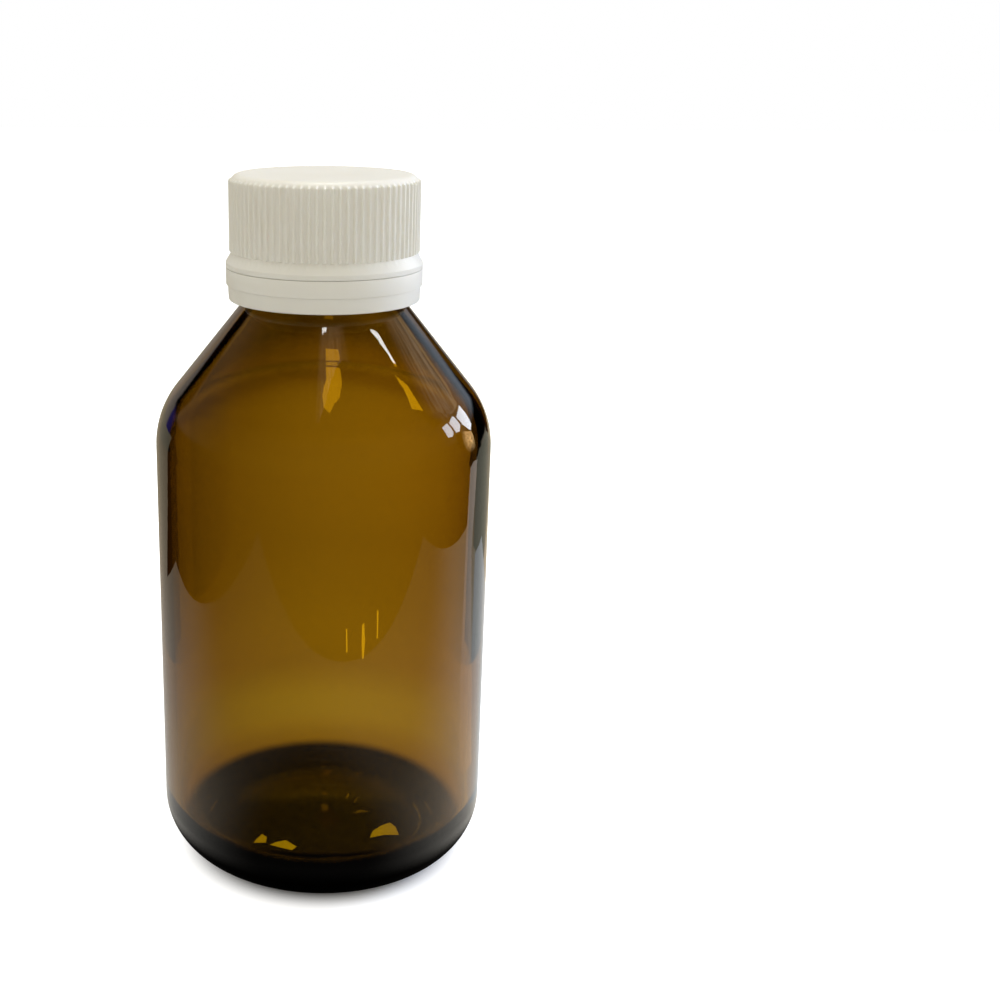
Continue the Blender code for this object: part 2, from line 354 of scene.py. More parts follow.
bottle = turned("glass_bottle", glass_section, GLASS_SIDES)
print("rings:", len(glass_section))

# %% Thread on the neck
THREAD_ROOT_WIDTH = 0.0021
THREAD_CREST_WIDTH = 0.0009
BURIED = 0.0003

glass_thread = thread_ridge(
    "glass_thread", NECK_RADIUS - BURIED, THREAD_CREST, THREAD_ROOT_WIDTH, THREAD_CREST_WIDTH,
    rim - THREAD_DROP - THREAD_TURNS * THREAD_PITCH, 0.5 / GLASS_SIDES, GLASS_SIDES,
)
fuse(bottle, glass_thread)
finish_piece(bottle, "glass", "bottle")

# %% [markdown]
# ## Screw cap
# The cap is moulded in polypropylene. Its top edge is rounded, its grip is 80 fine ribs, and under them
# the skirt flares out to the width of the ring below. The ribs could be 80 small blocks, but a mould
# gives them soft tops and a smooth foot, so the rings of the wall are pushed out between them instead.

# %% Sizes of the cap
CAP_HEIGHT = 0.0146
CAP_TOP_THICKNESS = 0.0014
CAP_WALL = 0.0009
CAP_EDGE_ROUND = 0.0013
CAP_CORNER_FILLET = 0.0004
THREAD_GAP = 0.0003
SEAT_GAP = 0.0003
LINER_THICKNESS = 0.0012
FLANGE_RADIUS = 0.01585
FLANGE_HEIGHT = 0.0008
FLARE_HEIGHT = 0.0016
SKIRT_STEP_DROP = 0.0008
SKIRT_TAPER = 0.0006
LIP_WIDTH = 0.00035
LIP_HEIGHT = 0.0003
LIP_ROUND = 0.00008
FLARE_ROUND = 0.00012
SHARP_ROUND = 0.00006
SMALL_ROUND = 0.0001
RIB_COUNT = 80
RIB_HEIGHT = 0.0004
RIB_TOP_DROP = 0.00045
RIB_END_SLOPE = 0.00055
RIB_FACES = 10
BAND_INNER_RADIUS = 0.01455

cap_inner = THREAD_CREST + THREAD_GAP
cap_outer = cap_inner + CAP_WALL
cap_under = rim + LINER_THICKNESS + 2 * SEAT_GAP
cap_top = cap_under + CAP_TOP_THICKNESS
skirt_low = cap_top - CAP_HEIGHT
flange_top = skirt_low + FLANGE_HEIGHT
flare_top = flange_top + FLARE_HEIGHT
step_level = flange_top + SKIRT_STEP_DROP
print("cap top, mm:", round(cap_top / MM, 3))

# %% Turn the shell
rib_top = cap_top - RIB_TOP_DROP
cap_section = (
    [Vector((cap_outer * share, cap_top)) for share in (0.03, 0.3, 0.6, 0.85)]
    + rounded_section([
        (0, cap_top, 0, 0),
        (cap_outer, cap_top, CAP_EDGE_ROUND, 12),
        (cap_outer, flare_top + FLARE_ROUND, 0, 0),
        (cap_outer, flare_top, 0, 0),
        (FLANGE_RADIUS, flange_top, FLARE_ROUND, 3),
        (FLANGE_RADIUS, skirt_low, SHARP_ROUND, 3),
        (FLANGE_RADIUS - LIP_WIDTH, skirt_low, LIP_ROUND, 2),
        (FLANGE_RADIUS - LIP_WIDTH, skirt_low + LIP_HEIGHT, 0, 0),
        (BAND_INNER_RADIUS, skirt_low + LIP_HEIGHT, SMALL_ROUND, 2),
        (BAND_INNER_RADIUS, step_level, 0, 0),
        (cap_inner, step_level + SKIRT_TAPER, 0, 0),
        (cap_inner, cap_under, CAP_CORNER_FILLET, 5),
        (0, cap_under, 0, 0),
    ])[1:-1]
    + [Vector((cap_inner * share, cap_under)) for share in (0.8, 0.5, 0.2, 0.03)]
)
cap = turned("screw_cap", cap_section, RIB_COUNT * RIB_FACES)
print("rings:", len(cap_section))

# %% Push out the ribs
RIB_PROFILE = (1.0, 0.93, 0.42)        # how far out a rib is at its middle and one and two faces beside it


def faces_from_rib(angle):
    """How many faces of the wall lie between this angle and the middle of the nearest rib."""
    pitch = 360 / RIB_COUNT
    aside = angle % pitch
    return round(min(aside, pitch - aside) / pitch * RIB_FACES)


rib_rows = sorted({
    round(point.y, 7): point for point in cap_section
    if point.x > cap_outer - 2 * RIB_HEIGHT and flare_top + NEAR < point.y < rib_top
}.items())
edit(cap)
for height, point in rib_rows:
    climb = min(1, (rib_top - height) / RIB_END_SLOPE)
    crest = cap_outer + RIB_HEIGHT * (2 * climb - 1)
    if crest <= point.x:
        continue
    for aside, share in enumerate(RIB_PROFILE):
        scale_picked(cap, 1 + (crest - point.x) * share / point.x, lambda radius, angle, level: (
            abs(level - height) < NEAR and radius > cap_outer - 2 * RIB_HEIGHT
            and faces_from_rib(angle) == aside
        ))
bpy.ops.object.mode_set(mode="OBJECT")
print("ribs:", RIB_COUNT, "rows:", len(rib_rows))

# %% Thread inside the cap
CAP_THREAD_LEAD = 0.1
CAP_THREAD_TIP_GAP = 0.00045
CAP_THREAD_ROOT_WIDTH = 0.0016
CAP_THREAD_CREST_WIDTH = 0.0008

cap_thread = thread_ridge(
    "cap_thread", cap_inner + BURIED, NECK_RADIUS + CAP_THREAD_TIP_GAP,
    CAP_THREAD_ROOT_WIDTH, CAP_THREAD_CREST_WIDTH,
    rim - THREAD_DROP - THREAD_PITCH * (THREAD_TURNS + CAP_THREAD_LEAD + 0.5),
    0.5 / (RIB_COUNT * RIB_FACES) - CAP_THREAD_LEAD, RIB_COUNT * RIB_FACES,
)
fuse(cap, cap_thread)
finish_piece(cap, "closure", "cap", sharp=35)

# %% [markdown]
# ## Tamper-evident ring
# Under the skirt sits the ring that breaks away at the first opening. Its upper part is as wide as the
# skirt and its foot steps in. Inside, twelve barbs catch under the glass bead, and on top eight stubs are
# what is left of the bridges to the cap. One barb and one stub are shaped, and the rest are copies.

# %% Sizes of the ring
SLIT = 0.00007
BAND_HEIGHT = 0.0052
BAND_STEP = 0.0003
BAND_FOOT_HEIGHT = 0.0025
BAND_FOOT_ROUND = 0.0003
BAND_SIDES = 320
BARB_COUNT = 12
BARB_WIDTH = 0.0042
BARB_REACH = 0.0012
BARB_HEIGHT = 0.0018
BARB_TIP = 0.0004
BARB_GAP = 0.0005
STUB_COUNT = 8
STUB_WIDTH = 0.0008
STUB_DEPTH = 0.0005
STUB_RADIUS = 0.01495
STUB_HEIGHT = 0.0003
FIRST_BARB = 0.013      # how far round the first barb and stub stand, as shares of their spacing,
FIRST_STUB = 0.011      # so that no corner of theirs lies in line with a corner of the ring

band_top = skirt_low - SLIT
band_low = band_top - BAND_HEIGHT
band_foot = band_low + BAND_FOOT_HEIGHT
print("band, mm:", round(band_low / MM, 3), "to", round(band_top / MM, 3))

# %% Turn the ring
band_section = rounded_section([
    (FLANGE_RADIUS, band_top, SHARP_ROUND, 3),
    (FLANGE_RADIUS, band_foot, SMALL_ROUND, 3),
    (FLANGE_RADIUS - BAND_STEP, band_foot, 0, 0),
    (FLANGE_RADIUS - BAND_STEP - SMALL_ROUND, band_low, BAND_FOOT_ROUND, 6),
    (BAND_INNER_RADIUS, band_low, SMALL_ROUND, 2),
    (BAND_INNER_RADIUS, band_top, SMALL_ROUND, 2),
])
band = turned("tamper_ring", band_section, BAND_SIDES, closed=True)
print("rings:", len(band_section))


# %% Barbs and stubs
def block(name, radius, depth, width, low, height):
    """A block that stands across the X axis at a radius, with all its place in its mesh."""
    bpy.ops.object.select_all(action="DESELECT")
    bpy.ops.mesh.primitive_cube_add(size=1, location=(radius, 0, low + height / 2))
    made = bpy.context.object
    made.name = name
    made.scale = (depth, width, height)
    bpy.ops.object.transform_apply(location=True, rotation=True, scale=True)
    return made


def round_the_axis(shape, count, first_turn):
    """Copy a shape round the bottle's axis and join the copies."""
    copies = [shape]
    for index in range(1, count):
        choose(shape)
        bpy.ops.object.duplicate()
        copies.append(bpy.context.object)
    for index, copy in enumerate(copies):
        copy.rotation_euler.z = math.tau * (index + first_turn) / count
        copy.select_set(True)
    bpy.context.view_layer.objects.active = shape
    bpy.ops.object.transform_apply(location=False, rotation=True, scale=False)
    bpy.ops.object.join()
    return shape


barb_top = bead_low - BARB_GAP
barb_depth = BARB_REACH + BURIED
barb = block("barb", BAND_INNER_RADIUS + BURIED - barb_depth / 2, barb_depth, BARB_WIDTH,
             barb_top - BARB_HEIGHT, BARB_HEIGHT)
edit(barb)
pick(barb, lambda radius, angle, height: height < barb_top - NEAR and radius < BAND_INNER_RADIUS)
bpy.ops.transform.translate(value=(0, 0, BARB_HEIGHT - BARB_TIP))
bpy.ops.object.mode_set(mode="OBJECT")
fuse(band, round_the_axis(barb, BARB_COUNT, FIRST_BARB))

stub = block("stub", STUB_RADIUS, STUB_DEPTH, STUB_WIDTH, band_top - STUB_HEIGHT / 2, STUB_HEIGHT)
fuse(band, round_the_axis(stub, STUB_COUNT, FIRST_STUB))
finish_piece(band, "band", "tamper_band", sharp=35)

# %% [markdown]
# ## Wad
# The wad is a disc punched from foam sheet. The rim of the glass has left a shallow ring pressed into its
# underside, which shows once the cap is off.

# %% Punch the wad
LINER_RADIUS = 0.0137
LINER_ROUND = 0.0002
LINER_SIDES = 160
PRESSED = 0.00008
PRESSED_INNER_SLOPE = 0.0003
PRESSED_OUTER_SLOPE = 0.0004

liner_low = rim + SEAT_GAP
liner_section = (
    [Vector((LINER_RADIUS * share, liner_low)) for share in (0.03, 0.35)]
    + [Vector((BORE_RADIUS, liner_low)), Vector((BORE_RADIUS + PRESSED_INNER_SLOPE, liner_low + PRESSED))]
    + [Vector((NECK_RADIUS - PRESSED_OUTER_SLOPE, liner_low + PRESSED)), Vector((NECK_RADIUS, liner_low))]
    + rounded_section([
        (0, liner_low, 0, 0),
        (LINER_RADIUS, liner_low, LINER_ROUND, 4),
        (LINER_RADIUS, liner_low + LINER_THICKNESS, LINER_ROUND, 4),
        (0, liner_low + LINER_THICKNESS, 0, 0),
    ])[1:-1]
    + [Vector((LINER_RADIUS * share, liner_low + LINER_THICKNESS)) for share in (0.7, 0.35, 0.03)]
)
liner = turned("foam_wad", liner_section, LINER_SIDES)
finish_piece(liner, "seal", "liner")

# %% [markdown]
# ## Materials
# A material is a small graph of nodes. One helper adds a node, sets it and links it, and another turns
# the hex colour of a paint program into the linear colour that a renderer adds up.

# %% Node and colour helpers
def linear(hex_colour):
    """Linear RGBA of an sRGB colour written as #RRGGBB."""
    channels = [int(hex_colour[start:start + 2], 16) / 255 for start in (1, 3, 5)]
    return (*[c / 12.92 if c <= 0.04045 else ((c + 0.055) / 1.055) ** 2.4 for c in channels], 1)


def add_node(tree, kind, inputs=None, **settings):
    """Add a node, set its properties, and fill its inputs with values or with other nodes' outputs."""
    node = tree.nodes.new(kind)
    for name, value in settings.items():
        setattr(node, name, value)
    for socket, value in (inputs or {}).items():
        if isinstance(value, bpy.types.NodeSocket):
            tree.links.new(value, node.inputs[socket])
        else:
            node.inputs[socket].default_value = value
    return node


def between(edges, levels=(0.0, 1.0)):
    """Inputs for a Map Range node that runs from one level to the other between two edges."""
    return {"From Min": edges[0], "From Max": edges[1], "To Min": levels[0], "To Max": levels[1]}


def new_material(name):
    """A material and its graph, which is empty."""
    material = bpy.data.materials.new(name)
    material.use_nodes = True
    material.node_tree.nodes.clear()
    return material, material.node_tree


def dress(piece, material):
    """Give a piece one material."""
    piece.data.materials.clear()
    piece.data.materials.append(material)


# %% [markdown]
# ## Amber glass
# Soda-lime glass is coloured amber with iron and sulphur all the way through, so its colour belongs in
# the volume: a thick heel is nearly black and a thin wall is honey. The colour below is what one metre
# would leave, scaled by the density until two walls let a fifth of the red through and hardly any blue.
# The surface is fire-polished, and only slow waves from the mould disturb it.

# %% Moulded amber glass
GLASS_COLOUR = "#E6D93F"
ABSORPTION_PER_METRE = 1500
GLASS_IOR = 1.52
WAVE_MM = 14
WAVE_DEPTH_MM = 0.025

glass, tree = new_material("moulded_amber_glass")
place = add_node(tree, "ShaderNodeTexCoord").outputs["Object"]
waves = add_node(tree, "ShaderNodeTexNoise", {
    "Vector": place, "Scale": 1 / (WAVE_MM * MM), "Detail": 2.0, "Roughness": 0.4,
})
ripple = add_node(tree, "ShaderNodeBump", {
    "Height": waves.outputs["Fac"], "Distance": WAVE_DEPTH_MM * MM, "Strength": 1.0,
})
glass_shader = add_node(tree, "ShaderNodeBsdfPrincipled", {
    "Base Color": (1, 1, 1, 1), "Roughness": 0.01, "IOR": GLASS_IOR, "Transmission Weight": 1.0,
    "Normal": ripple.outputs["Normal"],
})
absorption = add_node(tree, "ShaderNodeVolumeAbsorption", {
    "Color": linear(GLASS_COLOUR), "Density": ABSORPTION_PER_METRE,
})
add_node(tree, "ShaderNodeOutputMaterial", {
    "Surface": glass_shader.outputs["BSDF"], "Volume": absorption.outputs["Volume"],
})
dress(bottle, glass)
print("light left by one wall:", [
    round(math.exp(-ABSORPTION_PER_METRE * (1 - c) * WALL), 3) for c in linear(GLASS_COLOUR)[:3]
])

# %% [markdown]
# ## Cream polypropylene
# The cap and the ring are injection moulded in polypropylene, which is waxy: it is a little translucent,
# its shine is soft, and the spark-eroded mould leaves a fine grain on it. The colour varies by a hair
# where the plastic flowed.

# %% Moulded polypropylene
GRAIN_MM = 0.12
GRAIN_DEPTH_MM = 0.004
FLOW_MM = 9

plastic, tree = new_material("moulded_polypropylene")
place = add_node(tree, "ShaderNodeTexCoord").outputs["Object"]
flow = add_node(tree, "ShaderNodeTexNoise", {"Vector": place, "Scale": 1 / (FLOW_MM * MM), "Detail": 3.0})
grain = add_node(tree, "ShaderNodeTexNoise", {"Vector": place, "Scale": 1 / (GRAIN_MM * MM), "Detail": 2.0})
cream = add_node(tree, "ShaderNodeMix", {
    "Factor": flow.outputs["Fac"], "A": linear("#EAE5D8"), "B": linear("#F1EEE4"),
}, data_type="RGBA")
gloss = add_node(tree, "ShaderNodeMapRange", {
    "Value": flow.outputs["Fac"], "To Min": 0.34, "To Max": 0.46,
})
tooth = add_node(tree, "ShaderNodeBump", {
    "Height": grain.outputs["Fac"], "Distance": GRAIN_DEPTH_MM * MM, "Strength": 1.0,
})
plastic_shader = add_node(tree, "ShaderNodeBsdfPrincipled", {
    "Base Color": cream.outputs[2], "Roughness": gloss.outputs["Result"], "IOR": 1.49,
    "Subsurface Weight": 0.12, "Subsurface Radius": (1.0, 0.85, 0.6), "Subsurface Scale": 0.5 * MM,
    "Normal": tooth.outputs["Normal"],
})
add_node(tree, "ShaderNodeOutputMaterial", {"Surface": plastic_shader.outputs["BSDF"]})
dress(cap, plastic)
dress(band, plastic)
print("plastic nodes:", len(tree.nodes))

# %% [markdown]
# ## Foam
# The wad is expanded polyethylene sheet: white, matt and full of closed cells about a third of a
# millimetre across, which show as shallow dimples on both skins.

# %% Expanded polyethylene foam
CELL_MM = 0.35
DIMPLE_DEPTH_MM = 0.05

foam, tree = new_material("expanded_polyethylene")
place = add_node(tree, "ShaderNodeTexCoord").outputs["Object"]
cells = add_node(tree, "ShaderNodeTexVoronoi", {"Vector": place, "Scale": 1 / (CELL_MM * MM)})
skin = add_node(tree, "ShaderNodeMix", {
    "Factor": cells.outputs["Distance"], "A": linear("#F4F4F0"), "B": linear("#DEDED8"),
}, data_type="RGBA")
dimples = add_node(tree, "ShaderNodeBump", {
    "Height": cells.outputs["Distance"], "Distance": DIMPLE_DEPTH_MM * MM, "Strength": 0.8,
}, invert=True)
foam_shader = add_node(tree, "ShaderNodeBsdfPrincipled", {
    "Base Color": skin.outputs[2], "Roughness": 0.75, "Subsurface Weight": 0.3,
    "Subsurface Radius": (1.0, 1.0, 1.0), "Subsurface Scale": 0.5 * MM, "Normal": dimples.outputs["Normal"],
})
add_node(tree, "ShaderNodeOutputMaterial", {"Surface": foam_shader.outputs["BSDF"]})
dress(liner, foam)
print("foam nodes:", len(tree.nodes))

# %% [markdown]
# ## Floor
# The bottle stands on white card. To the camera the card glows a little, so that it comes out white and
# still keeps a soft shadow, and the glow fades out under the bottle's edge: a painted shadow. Through the
# glass the same card glows with painted light and shade for the table of the day: bright close behind the
# bottle, brown and dimmer far off, brighter on the window's side, and a painted black shade under the
# base, where no light gets in.

# %% Sizes and colours of the card
FLOOR_SIZE = 4
FLOOR_GLOW = 0.90
BASE_SHADE = (0.0195, 0.0265)          # from full shade to none, in metres from the bottle's axis
SHADE_THROUGH_GLASS = (0.0320, 0.0365)
SHADE_NARROWING = 1.18                 # the shade seen through the glass is an oval, narrower across
LIT_SIDE = (-0.08, 0.06)               # from the dim side to the lit one, in metres along X
LIT_LEVELS = (0.70, 1.34)
THROUGH_REACH = 0.65
THROUGH_GLASS = (          # distance from the bottle's axis in metres, and the painted light there
    (0.060, "#FFFFFF"), (0.078, "#E6D8C8"), (0.119, "#DCCDBA"), (0.164, "#D4C3B2"), (0.220, "#DCCABC"),
    (0.290, "#E0CEC2"), (0.380, "#D6C4B6"), (0.440, "#BAA696"), (0.500, "#B4A090"), (0.620, "#D8C8BA"),
)


def ramp(tree, value, stops, reach):
    """A colour ramp over 0 to reach, with its stops given in the units of the value."""
    share = add_node(tree, "ShaderNodeMapRange", {"Value": value, **between((0.0, reach))})
    node = add_node(tree, "ShaderNodeValToRGB", {"Fac": share.outputs["Result"]})
    band = node.color_ramp
    while len(band.elements) < len(stops):
        band.elements.new(1.0)
    for element, (position, colour) in zip(band.elements, stops):
        element.position = position / reach
        element.color = linear(colour)
    return node.outputs["Color"]


# %% White card
bpy.ops.object.select_all(action="DESELECT")
bpy.ops.mesh.primitive_plane_add(size=FLOOR_SIZE, location=(0, 0, 0))
floor = bpy.context.object
floor.name = "floor"
card, tree = new_material("white_card")
place = add_node(tree, "ShaderNodeTexCoord").outputs["Object"]
from_axis = add_node(tree, "ShaderNodeVectorMath", {0: place}, operation="LENGTH").outputs["Value"]
ray = add_node(tree, "ShaderNodeLightPath")
# painted shadow: the glow that the camera sees fades out under the bottle's edge
beside = add_node(tree, "ShaderNodeMapRange", {
    "Value": from_axis, **between(BASE_SHADE),
}, interpolation_type="SMOOTHSTEP").outputs["Result"]
# painted shade: seen through the glass, the card is black under the base, in a narrow oval
narrowed = add_node(tree, "ShaderNodeVectorMath", {
    0: place, 1: (SHADE_NARROWING, 1, 1),
}, operation="MULTIPLY")
oval = add_node(tree, "ShaderNodeVectorMath", {0: narrowed.outputs["Vector"]}, operation="LENGTH")
behind = add_node(tree, "ShaderNodeMapRange", {
    "Value": oval.outputs["Value"], **between(SHADE_THROUGH_GLASS),
}, interpolation_type="SMOOTHSTEP").outputs["Result"]
# painted light: through the glass the card fades from bright close by to brown and dim far off
distant = ramp(tree, from_axis, THROUGH_GLASS, THROUGH_REACH)
sides = add_node(tree, "ShaderNodeSeparateXYZ", {"Vector": place})
# painted light: through the glass the card is brighter on the window's side
lit_side = add_node(tree, "ShaderNodeMapRange", {
    "Value": sides.outputs["X"], **between(LIT_SIDE, LIT_LEVELS),
}, interpolation_type="SMOOTHSTEP")
behind = add_node(tree, "ShaderNodeMath", {0: behind, 1: lit_side.outputs["Result"]}, operation="MULTIPLY")
open_card = add_node(tree, "ShaderNodeBsdfDiffuse", {"Color": linear("#E4E4E4")})
white_glow = add_node(tree, "ShaderNodeEmission", {"Strength": add_node(tree, "ShaderNodeMath", {
    0: beside, 1: FLOOR_GLOW,
}, operation="MULTIPLY").outputs[0]})
to_camera = add_node(tree, "ShaderNodeAddShader", {0: open_card.outputs[0], 1: white_glow.outputs[0]})
through_glass = add_node(tree, "ShaderNodeEmission", {"Color": distant, "Strength": behind.outputs[0]})
to_others = add_node(tree, "ShaderNodeMixShader", {
    "Fac": ray.outputs["Is Transmission Ray"], 1: open_card.outputs[0], 2: through_glass.outputs[0],
})
card_shader = add_node(tree, "ShaderNodeMixShader", {
    "Fac": ray.outputs["Is Camera Ray"], 1: to_others.outputs[0], 2: to_camera.outputs[0],
})
add_node(tree, "ShaderNodeOutputMaterial", {"Surface": card_shader.outputs[0]})
dress(floor, card)
floor.visible_glossy = False
print("floor nodes:", len(tree.nodes))

# %% [markdown]
# ## What the glass mirrors
# Glass shows the room round it more than it shows itself. The photographed bottle mirrors a sheet of
# paper, whose outline draws the three rounded shapes low on its body. It could be lit like any paper, but
# then it would light the bottle too, so a glowing card that only reflections can see stands in for it: a
# painted reflection, with the paper's light and shade painted into its glow. It is dim in front, where the
# bottle shades it, and bright behind.

# %% Cards for reflections
def stage_card(name, corners, material, through=False):
    """A flat card that lights nothing: only reflections see it, or only rays through glass."""
    mesh = bpy.data.meshes.new(name)
    mesh.from_pydata([Vector(corner) for corner in corners], [], [tuple(range(len(corners)))])
    made = bpy.data.objects.new(name, mesh)
    bpy.context.scene.collection.objects.link(made)
    dress(made, material)
    made.visible_camera = False
    made.visible_diffuse = False
    made.visible_shadow = False
    made.visible_volume_scatter = False
    made.visible_glossy = not through
    made.visible_transmission = through


def glowing(name, colour, strength):
    """A material that only glows."""
    made, tree = new_material(name)
    glow = add_node(tree, "ShaderNodeEmission", {"Color": linear(colour), "Strength": strength})
    add_node(tree, "ShaderNodeOutputMaterial", {"Surface": glow.outputs[0]})
    return made


# %% Sizes and colours of the paper
# its outline in millimetres, to the right of the bottle's axis and behind it
PAPER = ((-152, -172), (200, -86), (200, 1500), (-2000, 1360), (-205, 155), (-118, 100),
         (-160, 74), (-154, 10))
PAPER_LIFT = 0.00005
PAPER_DEPTHS = (-0.06, 0.015)          # from its dim front to its bright back, in metres along Y
PAPER_LEVELS = (0.25, 0.84)
PAPER_LIT_SIDE = (-0.06, 0.07)
PAPER_LIT_LEVELS = (0.76, 1.35)
PAPER_SHADE = (0.026, 0.0355)
PAPER_SHADE_LEVELS = (0.02, 1.0)
FRONT_SHADE_CENTRE = (-0.004, -0.050, 0)
FRONT_SHADE = (0.022, 0.054)
FRONT_SHADE_LEVELS = (0.08, 1.0)
PAPER_REACH = 0.3
PAPER_COLOURS = (          # distance from the bottle in metres, and the colour and painted light there
    (0.050, "#FFFAF0"),
    (0.100, "#F4EADA"),
    (0.160, "#DACDB4"),
    (0.240, "#D0C5A8"),
)

# %% Sheet of paper
paper, tree = new_material("paper_in_reflections")
place = add_node(tree, "ShaderNodeTexCoord").outputs["Object"]
sides = add_node(tree, "ShaderNodeSeparateXYZ", {"Vector": place})
from_axis = add_node(tree, "ShaderNodeVectorMath", {0: place}, operation="LENGTH").outputs["Value"]
# the glow paints the paper's light and shade: dim in front and brighter on the window's side, with a
# painted shadow in front of the bottle and painted shade round its foot
depth = add_node(tree, "ShaderNodeMapRange", {
    "Value": sides.outputs["Y"], **between(PAPER_DEPTHS, PAPER_LEVELS),
}, interpolation_type="SMOOTHSTEP")
lit_side = add_node(tree, "ShaderNodeMapRange", {
    "Value": sides.outputs["X"], **between(PAPER_LIT_SIDE, PAPER_LIT_LEVELS),
}, interpolation_type="SMOOTHSTEP")
in_front = add_node(tree, "ShaderNodeVectorMath", {0: place, 1: FRONT_SHADE_CENTRE}, operation="DISTANCE")
shadow = add_node(tree, "ShaderNodeMapRange", {
    "Value": in_front.outputs["Value"], **between(FRONT_SHADE, FRONT_SHADE_LEVELS),
}, interpolation_type="SMOOTHSTEP")
beside = add_node(tree, "ShaderNodeMapRange", {
    "Value": from_axis, **between(PAPER_SHADE, PAPER_SHADE_LEVELS),
}, interpolation_type="SMOOTHSTEP")
level = depth
for factor in (lit_side, shadow, beside):
    level = add_node(tree, "ShaderNodeMath", {
        0: level.outputs[0], 1: factor.outputs["Result"],
    }, operation="MULTIPLY")
paper_glow = add_node(tree, "ShaderNodeEmission", {
    "Color": ramp(tree, from_axis, PAPER_COLOURS, PAPER_REACH), "Strength": level.outputs[0],
})
add_node(tree, "ShaderNodeOutputMaterial", {"Surface": paper_glow.outputs[0]})
stage_card("paper", [(x * MM, y * MM, PAPER_LIFT) for x, y in PAPER], paper)
print("paper nodes:", len(tree.nodes))

# %% [markdown]
# ## Pale edge on the right
# The bottle's right edge mirrors more than paper: a dim sheet far off, a cool one close by and a strip
# where the window's light falls. Each is a glowing card, a painted reflection, and the strip is a painted
# pool of the window's light. They lie one over the other, each a hair above the last.

# %% Sheets and strip on the right
# outlines in millimetres, to the right of the bottle's axis and behind it
COOL_SHEET = ((40, 4), (62, 15), (80, 36), (116, 66), (152, 95), (134, 134), (90, 128), (60, 120), (20, 60),
              (28, 22))
DIM_SHEET = ((165, 90), (260, 140), (400, 300), (300, 450), (90, 260), (100, 132))
BRIGHT_STRIP = ((55, 2), (98, 18), (186, 62), (250, 105), (290, 150), (270, 180), (223, 140), (172, 86),
                (84, 43), (50, 18))
# glowing cards that paint these reflections, the strip as painted window light
for lift, name, outline, colour, strength in (
    (2, "dim_sheet", DIM_SHEET, "#BAB8A4", 0.85),
    (3, "cool_sheet", COOL_SHEET, "#FBFFFF", 0.95),
    (4, "bright_strip", BRIGHT_STRIP, "#FFF2E4", 1.2),
):
    glow = glowing(name, colour, strength)
    stage_card(name, [(x * MM, y * MM, PAPER_LIFT * lift) for x, y in outline], glow)


# %% [markdown]
# ## Window and glints
# The window's panes, its sill and the small glints each show at one spot of the glass. They are glowing
# cards: painted reflections of the window, painted glints, and painted highlights for the sill and two
# soft patches of light. A mirror sends a ray off in one direction, so each card is set by the directions
# in which its spot looks, and not by its place in the room. The sill and the two soft patches of light
# fade out in clouds.

# %% Cards set by direction
CARD_DISTANCE = 0.6
GLOW_CORE = 0.3            # the share of its reach over which a soft glow keeps its full strength
CLOUD_EDGES = (0.35, 0.65)
CLOUD_LEVELS = (0.45, 1.25)


def towards(azimuth, elevation):
    """Unit vector of a direction in degrees: from straight behind the bottle, + to the right, and up."""
    turn, climb = math.radians(azimuth), math.radians(elevation)
    return Vector((math.sin(turn) * math.cos(climb), math.cos(turn) * math.cos(climb), math.sin(climb)))


def directions_card(name, spot, corners, material, distance=CARD_DISTANCE):
    """A card that is mirrored at one spot of the glass, with its corners given as directions from there."""
    placed = [Vector(spot) + towards(azimuth, elevation) * distance for azimuth, elevation in corners]
    stage_card(name, placed, material)


def soft_glow(name, colour, strength, centre, reach, cloud_size):
    """A painted patch of light that is strongest at a centre and fades out in clouds towards its reach."""
    made, tree = new_material(name)
    place = add_node(tree, "ShaderNodeTexCoord").outputs["Object"]
    aside = add_node(tree, "ShaderNodeVectorMath", {0: place, 1: centre}, operation="DISTANCE")
    fade = add_node(tree, "ShaderNodeMapRange", {
        "Value": aside.outputs["Value"], **between((reach * GLOW_CORE, reach), (strength, 0.0)),
    }, interpolation_type="SMOOTHSTEP")
    clouds = add_node(tree, "ShaderNodeTexNoise", {"Vector": place, "Scale": 1 / cloud_size, "Detail": 4.0})
    thin = add_node(tree, "ShaderNodeMapRange", {
        "Value": clouds.outputs["Fac"], **between(CLOUD_EDGES, CLOUD_LEVELS),
    })
    level = add_node(tree, "ShaderNodeMath", {
        0: fade.outputs["Result"], 1: thin.outputs["Result"],
    }, operation="MULTIPLY")
    glow = add_node(tree, "ShaderNodeEmission", {"Color": linear(colour), "Strength": level.outputs[0]})
    add_node(tree, "ShaderNodeOutputMaterial", {"Surface": glow.outputs[0]})
    return made


# %% Panes, glints and soft patches
RIGHT_SHOULDER = (0.021, -0.015, 0.081)
NECK_RIGHT = (0.009, -0.013, 0.093)
NECK_FRONT = (0.0, -0.015, 0.0945)
BEHIND_PANES = 0.61
FAR_WALL = 0.7
